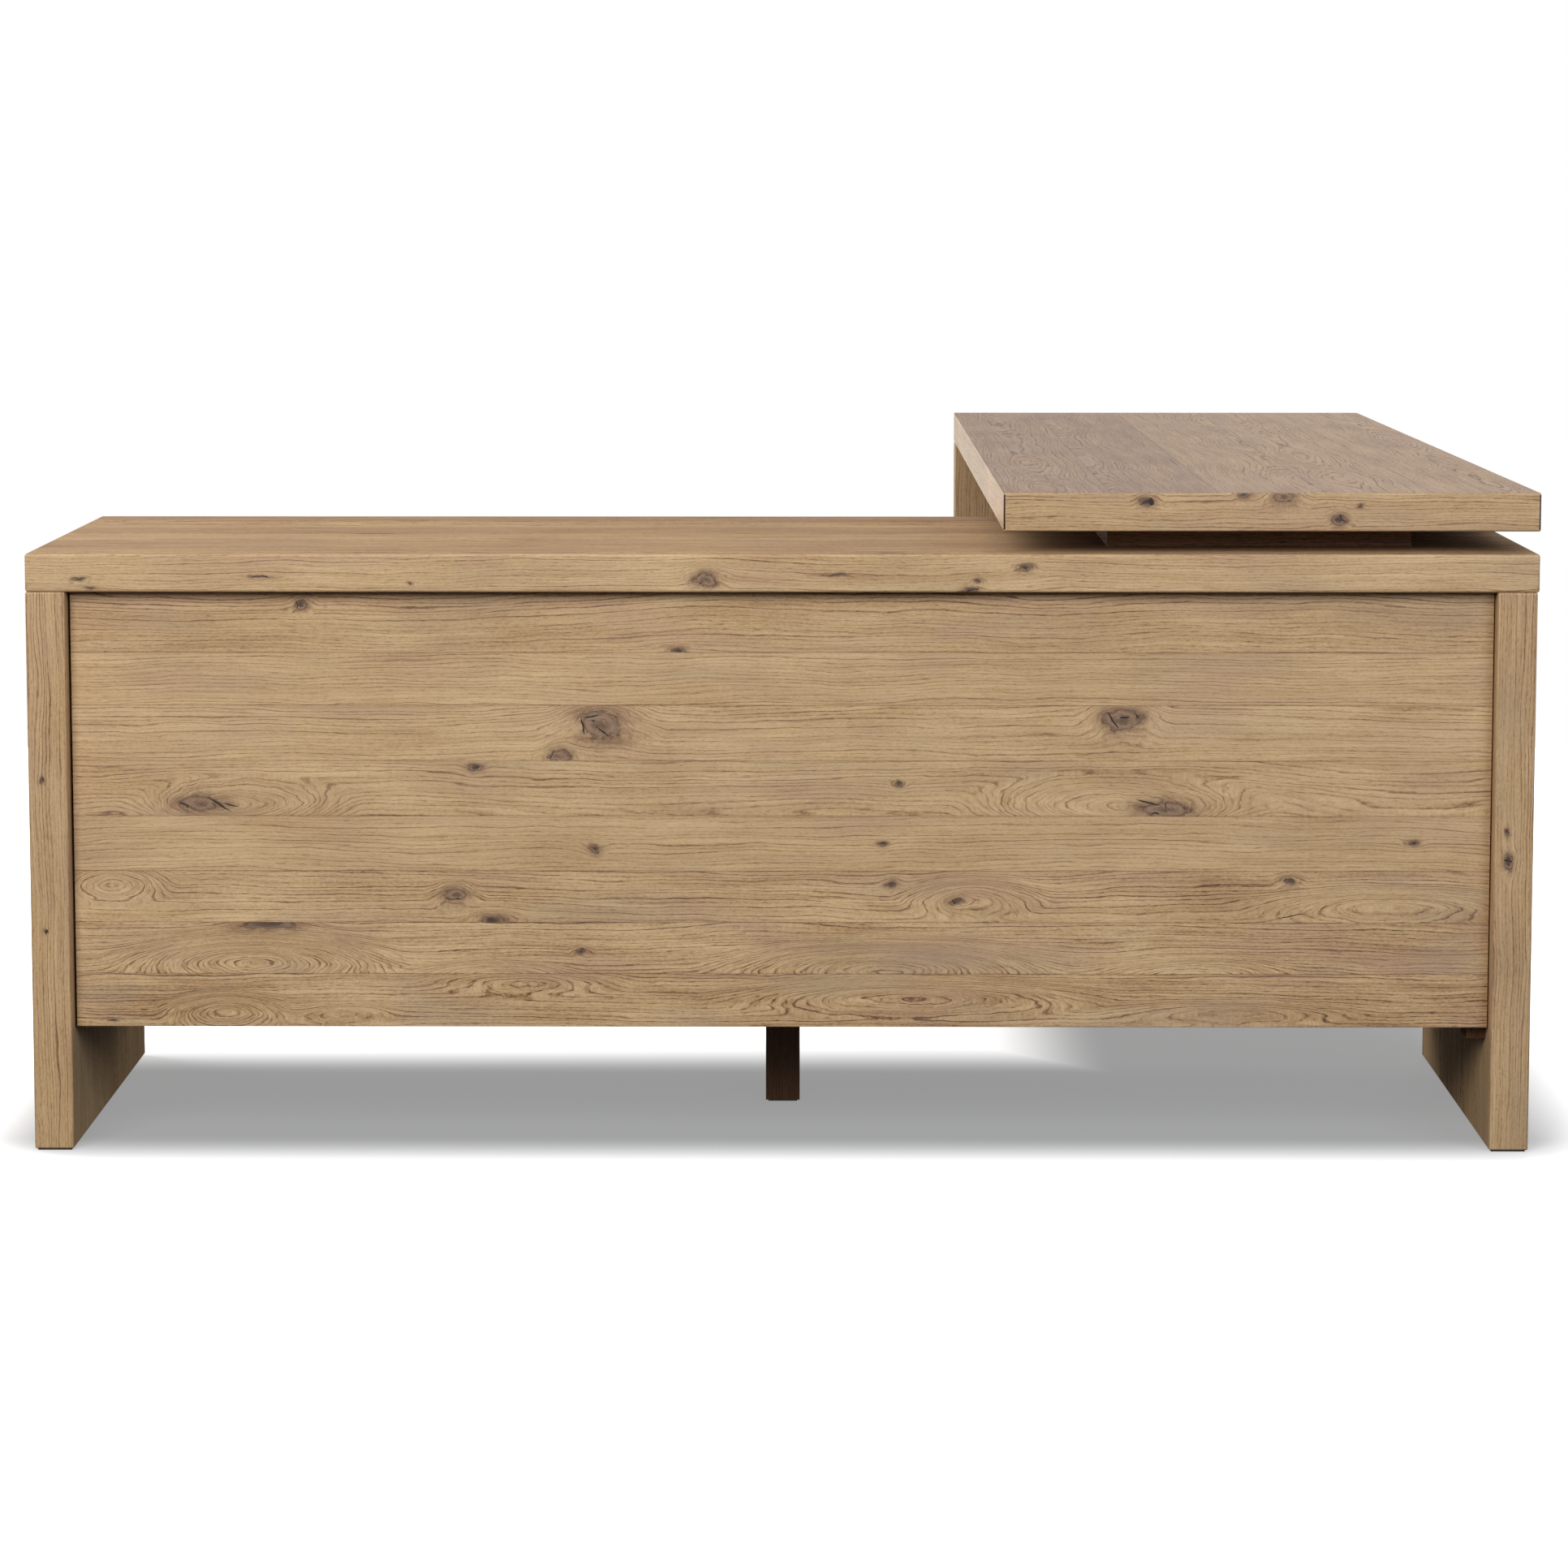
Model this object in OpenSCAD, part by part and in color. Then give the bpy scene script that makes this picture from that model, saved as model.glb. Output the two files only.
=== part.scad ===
// L-shaped corner desk: a closed-back storage unit along X, and a higher desk top along Y
// that rests on the unit through a riser block at one end and on a slab leg at the other.
// The origin is on the floor, in the middle of the whole desk's footprint.
// The storage unit's finished back faces -Y and its drawers and door open towards +Y.

/* [Whole desk] */
// Width of the storage unit, and of the whole desk
total_w = 1724; // [1600:1:1900]
// Depth from the storage unit's back to the outer face of the slab leg
total_d = 1524; // [1400:1:1700]
// Height of the desk top above the floor
desk_h = 762; // [740:1:780]

/* [Desk top] */
// Width of the desk top
desk_w = 610; // [560:1:640]
// Thickness of both tops
slab_t = 44; // [38:1:50]
// Thickness of the side panels and of the slab leg
panel_t = 45; // [38:1:50]
// Height of the gap between the two tops, filled by the riser block
riser_h = 26; // [20:1:30]
// Width of the riser block
riser_w = 353; // [300:1:380]
// How far the riser block stands in from the storage unit's back
riser_inset = 99; // [80:1:120]
// How far the riser block stands in from the desk top's left edge
riser_side = 125; // [110:1:140]

/* [Storage unit] */
// Depth of the storage unit
unit_d = 503; // [480:1:540]
// Clear height under the storage unit
clear_h = 142; // [120:1:160]
// How far the back panel stands in from the frame
back_inset = 18; // [8:1:20]
// How far the fronts stand in from the frame
front_inset = 8; // [6:1:15]
// How far the top hangs over the right side panel
top_overhang = 2; // [0:0.5:4]
// Thickness of the back panel
back_t = 18; // [12:1:22]
// Thickness of the partitions and of the bottom panel
board_t = 22; // [18:1:25]
// Thickness of the drawer fronts and of the door
front_t = 20; // [18:1:22]
// Gap round each front
gap = 3; // [2:0.5:4]
// Height of the upper drawer fronts
upper_front_h = 180; // [160:1:200]
// Width and depth of the foot under the middle
foot_w = 41; // [36:1:46]
// How far the foot stands in from the storage unit's back
foot_inset = 250; // [230:1:260]

/* [Drawers] */
// Thickness of the drawer boxes' sides and backs
box_t = 13; // [12:0.5:15]
// Thickness of the drawer bottoms
box_floor_t = 6; // [5:0.5:9]
// Length of the drawer boxes
box_l = 430; // [400:1:430]
// Height of the upper drawer boxes
upper_box_h = 140; // [120:1:145]
// Height of the file drawer boxes
file_box_h = 262; // [240:1:270]
// Room for the runners on each side of a drawer box
runner_room = 13; // [12.7:0.1:14]
// Length of the drawer runners
runner_l = 400; // [350:1:410]

/* [Hardware] */
// Radius of a knob's head
knob_r = 13; // [11:1:16]
// How far a knob stands out from its front
knob_l = 25; // [22:1:28]
// Height of a door hinge
hinge_h = 60; // [50:1:70]
// Radius of a hinge's knuckle
knuckle_r = 3.5; // [3:0.1:3.5]
// Radius of a hinge pin
pin_r = 1.5; // [1.2:0.1:1.8]
// Radius of the bolts that hold the desk top to the storage unit
bolt_r = 4; // [3:0.5:5]
// Thickness of the glides under everything that stands on the floor
glide_t = 2; // [1:0.5:3]

/* [Hidden] */
DRAWERS = ["left_upper_drawer", "left_file_drawer", "centre_upper_drawer", "centre_file_drawer"];
DRAWER_PIECES = ["front", "left_side", "right_side", "back", "bottom", "knob", "slides", "runners"];

OAK = "#b8925f";
OAK_DARK = "#a37b4c";
PLY = "#cdb486";
STEEL = "#9a9c9e";
BRONZE = "#4a3b30";
PAD = "#2c2622";

// Outer box of the desk
right = total_w / 2;
left = -right;
near = -total_d / 2;
far = total_d / 2;
desk_left = right - desk_w;
desk_low = desk_h - slab_t;

// Storage unit: outer sizes and the space inside its frame
unit_h = desk_low - riser_h;
unit_front = near + unit_d;
case_top = unit_h - slab_t;
in_left = left + panel_t;
in_right = right - top_overhang - panel_t;
in_w = in_right - in_left;
back_y = near + back_inset;
case_back = back_y + back_t;
front_y = unit_front - front_inset;
front_back = front_y - front_t;
bottom_z = clear_h + board_t;
// Joint round the back panel
back_gap = 1.5;

// Three columns of fronts, with a partition behind each joint between them
front_w = (in_w - 4 * gap) / 3;
column = front_w + gap;
function front_x(i) = in_left + gap + i * column;
function joint_x(i) = front_x(i) - gap / 2;
function bay_left(i) = i == 0 ? in_left : joint_x(i) + board_t / 2;
function bay_right(i) = i == 2 ? in_right : joint_x(i + 1) - board_t / 2;
file_front_h = case_top - clear_h - upper_front_h - 2 * gap;
upper_front_z = clear_h + file_front_h + gap;
door_h = case_top - gap - clear_h;

// Drawers: 0 and 1 in the left bay, 2 and 3 in the centre bay, with the file drawers below
function bay_of(d) = d < 2 ? 0 : 1;
function is_file(d) = d % 2 == 1;
function drawer_z(d) = is_file(d) ? clear_h : upper_front_z;
function drawer_h(d) = is_file(d) ? file_front_h : upper_front_h;
function box_h(d) = is_file(d) ? file_box_h : upper_box_h;
function box_z(d) = is_file(d) ? bottom_z + box_lift : upper_front_z + box_lift;
function box_left(d) = bay_left(bay_of(d)) + runner_room;
function box_right(d) = bay_right(bay_of(d)) - runner_room;
box_lift = 12;
box_back = front_back - box_l;
// Depth of the groove that holds the drawer bottom, and its height above the box's lower edge
groove = 6;
floor_lift = 12;

// Runner section: a channel on the cabinet side with a narrower one sliding inside it
runner_h = 42;
runner_gauge = 1.4;
runner_lip = 8;
slide_play = 0.4;
slide_lip = 7;
runner_rise = 30;
runner_set_back = 4;

// Hinge axis, and the leaves either side of the gap between the door and the frame
leaf_t = 1.2;
leaf_play = 0.4;
hinge_x = in_right - knuckle_r - leaf_play;
hinge_y = front_y + knuckle_r + leaf_play;
leaf_d = 19;
knuckle_gap = 0.4;
hinge_inset = 70;
hinge_zs = [clear_h + hinge_inset, clear_h + door_h - hinge_inset - hinge_h];
pin_play = 0.05;
pin_head_r = 2.4;
pin_head_h = 1.5;

// Knobs: their place on the door, and their outline as shares of the head's radius and the length
knob_side = 45;
knob_foot_share = 0.62;
knob_waist_share = 0.42;
knob_dome_share = 0.45;
knob_head_share = 0.55;
knob_foot_h = 1.5;
knob_waist_z = 4;
knob_flare_h = 2;
knob_rim_h = 3;

// Magnetic catch and its strike plate
catch_l = 46;
catch_h = 14;
catch_set = 24;
strike_t = 1.5;
strike_edge = 1;
catch_play = 0.4;

// Adjustable shelf on pins, in a column of holes near the back and one near the front
shelf_t = 18;
shelf_play = 1.5;
shelf_front_gap = 12;
hole_pitch = 32;
hole_r = 2.55;
hole_d = 10;
shelf_pin_r = 2.5;
shelf_pin_l = 18;
shelf_pin_z = 393;
shelf_z = shelf_pin_z + shelf_pin_r;
hole_set_back = 50;
hole_set_front = 60;
hole_ys = [case_back + hole_set_back, front_back - hole_set_front];

// Cleats and block under the bottom panel
cleat_w = 22;
cleat_h = 16;
cleat_inset = 130;
block_inset = 36;
block_l = 40;

// Riser, bolts and inserts
riser_x = desk_left + riser_side;
riser_d = unit_d - 2 * riser_inset;
bolt_inset = 40;
bolt_xs = [riser_x + bolt_inset, riser_x + riser_w - bolt_inset];
bolt_ys = [near + riser_inset + bolt_inset, near + riser_inset + riser_d - bolt_inset];
bolt_play = 0.5;
bolt_head_r = 8;
bolt_head_h = 4;
socket_r = bolt_r * 0.7;
socket_d = 2.5;
insert_r = 6;
insert_l = 15;
insert_bite = 12;

// Angle brackets in the corner between the desk top and the slab leg
leg_y = far - panel_t;
bracket_w = 40;
bracket_l = 50;
bracket_t = 3;
bracket_inset = 90;
bracket_xs = [desk_left + bracket_inset, right - bracket_inset - bracket_w];
screw_r = 2.2;
screw_hole_r = 2.6;
screw_head_r = 4.2;
screw_head_h = 2;
screw_l = 28;
screw_spots = [15, 38];

// Glides
glide_w = 39;
glide_l = 60;
foot_glide_w = 35;
glide_end = 3;

// How far a cut runs past the face it opens, and a joined shape into its neighbour
over = 1;

// A box between two corners
module block(low, high) {
    translate(low) cube(high - low);
}

// A round bar along Z at each bolt, solid or to be cut away
module bolt_bars(r, z0, z1) {
    for (x = bolt_xs) for (y = bolt_ys)
        translate([x, y, z0]) cylinder(r = r, h = z1 - z0, $fn = 32);
}

// ---------- storage unit ----------

module unit_top() {
    color(OAK) difference() {
        block([left, near, case_top], [right, unit_front, unit_h]);
        bolt_bars(bolt_r + bolt_play, case_top - over, unit_h + over);
    }
}

module left_side_panel() {
    color(OAK) block([left, near, glide_t], [in_left, unit_front, case_top]);
}

module right_side_panel() {
    color(OAK) difference() {
        block([in_right, near, glide_t], [in_right + panel_t, unit_front, case_top]);
        shelf_holes(in_right, 1);
    }
}

module back_panel() {
    color(OAK) block([in_left + back_gap, back_y, clear_h], [in_right - back_gap, case_back,
        case_top - back_gap]);
}

module bottom_panel() {
    color(OAK_DARK) block([in_left, case_back, clear_h], [in_right, front_back, bottom_z]);
}

module partition(i) {
    block([joint_x(i) - board_t / 2, case_back, bottom_z],
        [joint_x(i) + board_t / 2, front_back, case_top]);
}

module left_partition() {
    color(OAK_DARK) partition(1);
}

module right_partition() {
    color(OAK_DARK) difference() {
        partition(2);
        shelf_holes(bay_left(2), -1);
    }
}

// Three holes in each column, so that the shelf can go one pitch up or down
module shelf_holes(x, side) {
    for (y = hole_ys) for (k = [-1 : 1])
        translate([x, y, shelf_pin_z + k * hole_pitch]) rotate([0, side * 90, 0])
            translate([0, 0, -over]) cylinder(r = hole_r, h = hole_d + over, $fn = 24);
}

module cabinet_shelf() {
    color(OAK_DARK) block([bay_left(2) + shelf_play, case_back + shelf_play, shelf_z],
        [in_right - shelf_play, front_back - shelf_front_gap, shelf_z + shelf_t]);
}

module shelf_pins() {
    color(STEEL) for (y = hole_ys) {
        for (x = [bay_left(2) - hole_d, in_right + hole_d - shelf_pin_l])
            translate([x, y, shelf_pin_z]) rotate([0, 90, 0])
                cylinder(r = shelf_pin_r, h = shelf_pin_l, $fn = 24);
    }
}

module cleat(x) {
    color(OAK_DARK) block([x, near + cleat_inset, clear_h - cleat_h],
        [x + cleat_w, front_back, clear_h]);
}

module corner_block() {
    color(OAK_DARK) block([in_right - cleat_w, near + block_inset, clear_h - cleat_h],
        [in_right, near + block_inset + block_l, clear_h]);
}

module centre_foot() {
    color(OAK_DARK) block([-foot_w / 2, near + foot_inset, glide_t],
        [foot_w / 2, near + foot_inset + foot_w, clear_h]);
}

module glide(x, y, w, l) {
    block([x - w / 2, y - l / 2, 0], [x + w / 2, y + l / 2, glide_t]);
}

// Two under each side panel, two under the slab leg, and one under the foot
module floor_glides() {
    color(PAD) {
        for (x = [left + panel_t / 2, in_right + panel_t / 2]) {
            glide(x, near + glide_end + glide_l / 2, glide_w, glide_l);
            glide(x, unit_front - glide_end - glide_l / 2, glide_w, glide_l);
        }
        for (x = [desk_left + glide_end + glide_l / 2, right - glide_end - glide_l / 2])
            glide(x, leg_y + panel_t / 2, glide_l, glide_w);
        glide(0, near + foot_inset + foot_w / 2, foot_glide_w, foot_glide_w);
    }
}

// ---------- desk top ----------

module desk_top() {
    color(OAK) difference() {
        block([desk_left, near, desk_low], [right, far, desk_h]);
        bolt_bars(insert_r, desk_low - over, desk_low + insert_l);
    }
}

module slab_leg() {
    color(OAK) block([desk_left, leg_y, glide_t], [right, far, desk_low]);
}

module riser_block() {
    color(OAK_DARK) difference() {
        block([riser_x, near + riser_inset, unit_h],
            [riser_x + riser_w, near + riser_inset + riser_d, desk_low]);
        bolt_bars(bolt_r + bolt_play, unit_h - over, desk_low + over);
    }
}

// Flat-headed bolts pushed up through the unit's top and the riser into the desk top
module desk_bolts() {
    color(STEEL) difference() {
        union() {
            bolt_bars(bolt_r, case_top - over, desk_low + insert_bite);
            bolt_bars(bolt_head_r, case_top - bolt_head_h, case_top);
        }
        for (x = bolt_xs) for (y = bolt_ys)
            translate([x, y, case_top - bolt_head_h - over])
                cylinder(r = socket_r, h = socket_d + over, $fn = 6);
    }
}

module threaded_inserts() {
    color(STEEL) difference() {
        bolt_bars(insert_r, desk_low, desk_low + insert_l);
        bolt_bars(bolt_r, desk_low - over, desk_low + insert_bite);
    }
}

// Places along one arm of a bracket where its screws go
module screw_places() {
    for (x = bracket_xs) for (s = screw_spots) translate([x + bracket_w / 2, leg_y, desk_low]) {
        translate([0, -s, 0]) children();
        mirror([0, 1, -1]) translate([0, -s, 0]) children();
    }
}

module leg_brackets() {
    color(STEEL) difference() {
        for (x = bracket_xs) translate([x, leg_y, desk_low]) {
            translate([0, -bracket_l, -bracket_t]) cube([bracket_w, bracket_l, bracket_t]);
            translate([0, -bracket_t, -bracket_l]) cube([bracket_w, bracket_t, bracket_l]);
        }
        screw_places() translate([0, 0, -bracket_t - over])
            cylinder(r = screw_hole_r, h = bracket_t + 2 * over, $fn = 24);
    }
}

module bracket_screws() {
    color(STEEL) screw_places() {
        translate([0, 0, -bracket_t - screw_head_h])
            cylinder(r = screw_head_r, h = screw_head_h, $fn = 24);
        translate([0, 0, -bracket_t - over])
            cylinder(r = screw_r, h = screw_l + over, $fn = 24);
    }
}

// ---------- door ----------

module cabinet_door() {
    color(OAK) block([front_x(2), front_back, clear_h], [front_x(2) + front_w, front_y,
        clear_h + door_h]);
}

// A turned knob on a front: foot, waist and a domed head
module knob(x, z) {
    foot_r = knob_r * knob_foot_share;
    waist_r = knob_r * knob_waist_share;
    dome_r = knob_r * knob_dome_share;
    head = knob_l * knob_head_share;
    rim = head + knob_rim_h;
    color(BRONZE) translate([x, front_y, z]) rotate([-90, 0, 0])
        rotate_extrude($fn = 48) polygon(concat(
            [[0, 0], [foot_r, 0], [foot_r, knob_foot_h], [waist_r, knob_waist_z],
             [waist_r, head - knob_flare_h], [knob_r, head]],
            [for (a = [0 : 15 : 75]) [knob_r - dome_r + dome_r * cos(a),
                rim + (knob_l - rim) * sin(a)]],
            [[0, knob_l]]));
}

module door_knob() {
    knob(front_x(2) + knob_side, clear_h + door_h - 2 * knob_side);
}

module door_strike_plate() {
    color(STEEL) block([front_x(2) + catch_set, front_back - strike_t,
        case_top - catch_h - gap - strike_edge],
        [front_x(2) + catch_set + catch_l, front_back, case_top - gap - strike_edge]);
}

module magnetic_catch() {
    color(PAD) block([front_x(2) + catch_set, front_back - strike_t - catch_play - catch_h,
        case_top - catch_h], [front_x(2) + catch_set + catch_l,
        front_back - strike_t - catch_play, case_top]);
}

// One piece of a hinge: a leaf from x0 to x1 behind the axis, and knuckles from each z to z
module hinge_part(x0, x1, knuckles) {
    for (base = hinge_zs) difference() {
        union() {
            for (k = knuckles) {
                translate([hinge_x, hinge_y, base + k[0]])
                    cylinder(r = knuckle_r, h = k[1] - k[0], $fn = 32);
                block([x0, front_y - leaf_d, base + k[0]], [x1, hinge_y, base + k[1]]);
            }
            block([x0, front_y - leaf_d, base], [x1, front_y - leaf_play, base + hinge_h]);
        }
        translate([hinge_x, hinge_y, base - over])
            cylinder(r = pin_r + pin_play, h = hinge_h + 2 * over, $fn = 32);
    }
}

module door_hinge_leaves() {
    third = hinge_h / 3;
    color(BRONZE) hinge_part(in_right - gap, in_right - gap + leaf_t,
        [[third + knuckle_gap, 2 * third - knuckle_gap]]);
}

module frame_hinge_leaves() {
    third = hinge_h / 3;
    color(BRONZE) hinge_part(in_right - leaf_t, in_right, [[0, third], [2 * third, hinge_h]]);
}

module hinge_pins() {
    color(STEEL) for (base = hinge_zs) translate([hinge_x, hinge_y, base]) {
        cylinder(r = pin_r, h = hinge_h + pin_head_h, $fn = 32);
        translate([0, 0, hinge_h]) cylinder(r = pin_head_r, h = pin_head_h, $fn = 32);
    }
}

// ---------- drawers ----------

module drawer_front(d) {
    color(OAK) translate([front_x(bay_of(d)), front_back, drawer_z(d)])
        cube([front_w, front_t, drawer_h(d)]);
}

// A side board with a groove that holds the drawer bottom
module drawer_side(d, x, groove_x) {
    color(PLY) difference() {
        translate([x, box_back, box_z(d)]) cube([box_t, box_l, box_h(d)]);
        translate([groove_x, box_back - over, box_z(d) + floor_lift])
            cube([groove + over, box_l + 2 * over, box_floor_t]);
    }
}

module drawer_left_side(d) {
    drawer_side(d, box_left(d), box_left(d) + box_t - groove);
}

module drawer_right_side(d) {
    drawer_side(d, box_right(d) - box_t, box_right(d) - box_t - over);
}

module drawer_back(d) {
    color(PLY) block([box_left(d) + box_t, box_back, box_z(d) + floor_lift + box_floor_t],
        [box_right(d) - box_t, box_back + box_t, box_z(d) + box_h(d)]);
}

module drawer_bottom(d) {
    color(PLY) block([box_left(d) + box_t - groove, box_back, box_z(d) + floor_lift],
        [box_right(d) - box_t + groove, front_back, box_z(d) + floor_lift + box_floor_t]);
}

module drawer_knob(d) {
    knob(front_x(bay_of(d)) + front_w / 2, drawer_z(d) + drawer_h(d) / 2);
}

// A channel section lying along Y: its web stands at x0 and its lips reach towards x1
module channel(x0, x1, z0, h, y0, l) {
    web_x = x1 > x0 ? x0 : x0 - runner_gauge;
    translate([web_x, y0, z0]) cube([runner_gauge, l, h]);
    for (z = [z0, z0 + h - runner_gauge])
        translate([min(x0, x1), y0, z]) cube([abs(x1 - x0), l, runner_gauge]);
}

// The channels screwed to the walls of the bay, which stay with the storage unit
module drawer_runners(d) {
    bay = bay_of(d);
    y0 = front_back - runner_set_back - runner_l;
    z0 = box_z(d) + runner_rise;
    color(STEEL) {
        channel(bay_left(bay), bay_left(bay) + runner_lip, z0, runner_h, y0, runner_l);
        channel(bay_right(bay), bay_right(bay) - runner_lip, z0, runner_h, y0, runner_l);
    }
}

// The channels screwed to the drawer's sides, which slide inside the runners
module drawer_slides(d) {
    y0 = front_back - runner_set_back - runner_l;
    z0 = box_z(d) + runner_rise + runner_gauge + slide_play;
    h = runner_h - 2 * runner_gauge - 2 * slide_play;
    color(STEEL) {
        channel(box_left(d), box_left(d) - slide_lip, z0, h, y0, runner_l);
        channel(box_right(d), box_right(d) + slide_lip, z0, h, y0, runner_l);
    }
}

unit_top();
left_side_panel();
right_side_panel();
back_panel();
bottom_panel();
left_partition();
right_partition();
cabinet_shelf();
shelf_pins();
cleat(in_left);  // left_cleat
cleat(in_right - cleat_w);  // right_cleat
corner_block();
centre_foot();
floor_glides();
desk_top();
slab_leg();
riser_block();
desk_bolts();
threaded_inserts();
leg_brackets();
bracket_screws();
cabinet_door();
door_knob();
door_strike_plate();
magnetic_catch();
door_hinge_leaves();
frame_hinge_leaves();
hinge_pins();
for (d = [0 : len(DRAWERS) - 1]) {
    drawer_front(d);
    drawer_left_side(d);
    drawer_right_side(d);
    drawer_back(d);
    drawer_bottom(d);
    drawer_knob(d);
    drawer_slides(d);
    drawer_runners(d);
}
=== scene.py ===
import math

import bmesh
import bpy
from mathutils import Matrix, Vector


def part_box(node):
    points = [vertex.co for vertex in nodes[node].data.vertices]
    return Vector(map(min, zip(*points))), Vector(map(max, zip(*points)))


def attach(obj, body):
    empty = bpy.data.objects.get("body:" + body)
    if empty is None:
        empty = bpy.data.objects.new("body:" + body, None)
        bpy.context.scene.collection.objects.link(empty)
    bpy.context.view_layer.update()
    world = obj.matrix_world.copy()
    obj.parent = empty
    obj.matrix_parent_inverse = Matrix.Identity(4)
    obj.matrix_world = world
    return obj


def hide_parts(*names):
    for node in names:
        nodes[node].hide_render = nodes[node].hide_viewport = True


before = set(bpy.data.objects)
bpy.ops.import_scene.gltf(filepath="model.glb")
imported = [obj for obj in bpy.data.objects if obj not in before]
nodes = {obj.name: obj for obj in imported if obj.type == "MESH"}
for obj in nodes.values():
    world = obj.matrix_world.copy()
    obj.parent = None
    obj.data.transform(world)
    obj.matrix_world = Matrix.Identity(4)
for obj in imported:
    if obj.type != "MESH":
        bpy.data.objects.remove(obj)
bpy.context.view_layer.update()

MM = 0.001
X, Y, Z = 0, 1, 2

# ---- The back panel -------------------------------------------------------------------------
# Eight horizontal oak boards, glued edge to edge into one panel that stands back inside the
# side panels and the top. Knotty oak, wire-brushed and matt lacquered: honey-tan wood with
# short dark pores, flowing growth lines and cracked dark knots.

# widths in millimetres, the eased edges and the gap at the left end in metres
BACK_BOARD_WIDTHS = [62, 60, 60, 64, 64, 64, 61, 69.5]
BACK_BOARD_EASE = 0.0004
BACK_LEFT_GAP = 0.0014

# oak from its lightest to its darkest, and the pink and grey that drift over it in places
OAK = ["#dfbe90", "#bd986c", "#94704d", "#62462e"]
OAK_PINK, OAK_GREY = "#b8917a", "#a39079"
KNOT_RIM, KNOT_DARK, KNOT_HEART, KNOT_CRACK = "#86654c", "#513a2b", "#7c6251", "#2b201a"
KNOT_BURR = "#9a7a62"

# sizes of the pattern in millimetres, along and across the grain
WANDER, RIPPLE, CLOUD, SPLIT = (240, 70), (24, 14), (190, 60), (30, 20)
# the same, across and along the growth lines. Real pores are about 0.3 mm wide, and are drawn
# wider so that they show.
RING_DRIFT, STREAK, PORE, FIBRE = (14, 260), (7, 160), (0.8, 12), (1.3, 4)
# how far the grain wanders, and how far the outlines of knots and of eyes are roughened
WANDER_BY, KNOT_RAGGED, EYE_RAGGED = 22.0, (20, 11, 0), (7, 3.5, 0)
# the tree's heart wanders over this length and comes this near to the face
HEART_WANDER, HEART_NEAR = 800, 4.0
# strips of this width have growth lines of their own unevenness
STRIP = 12

# growth lines part by this share of a knot's radius, and close round it out to this many radii
KNOT_PARTING, KNOT_REACH = 0.92, 3.2
# knots up to this radius have shrunk, and show a dark hollow of this depth of colour
LOOSE_KNOT, HOLLOW_SHADE = 7, 0.62

# how far each part of the pattern moves the colour from the lightest oak to the darkest
OAK_SHADE, PORE_SHADE, STREAK_SHADE, FIBRE_SHADE = 0.24, 0.24, 0.74, 0.36
CLOUD_SHADE, BOARD_SHADE, SEAM_SHADE = 0.44, 0.16, 0.2
# the most that pink, grey and the brown round a knot cover the oak's own colour
PINK_MOST, GREY_MOST, HALO_MOST = 0.4, 0.3, 0.86


def linear(hex_colour):
    """An sRGB hex colour as linear red, green, blue and alpha."""
    values = [int(hex_colour[i:i + 2], 16) / 255 for i in (1, 3, 5)]
    return [v / 12.92 if v <= 0.04045 else ((v + 0.055) / 1.055) ** 2.4 for v in values] + [1.0]


def add(tree, kind, inputs=(), **settings):
    """Adds one node. Inputs are by place or by name, each a value, a node or an output socket."""
    node = tree.nodes.new("ShaderNode" + kind)
    for setting, value in settings.items():
        setattr(node, setting, value)
    for key, value in inputs.items() if isinstance(inputs, dict) else enumerate(inputs):
        if value is None:
            continue
        if isinstance(value, bpy.types.Node):
            value = value.outputs[0]
        if isinstance(value, bpy.types.NodeSocket):
            tree.links.new(value, node.inputs[key])
        else:
            node.inputs[key].default_value = value
    return node


def new_material(name):
    material = bpy.data.materials.new(name)
    material.use_nodes = True
    material.node_tree.nodes.clear()
    return material, material.node_tree


def every(size):
    """The mapping scale that gives a pattern these two sizes."""
    return 1 / size[0], 1 / size[1], 1


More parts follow.
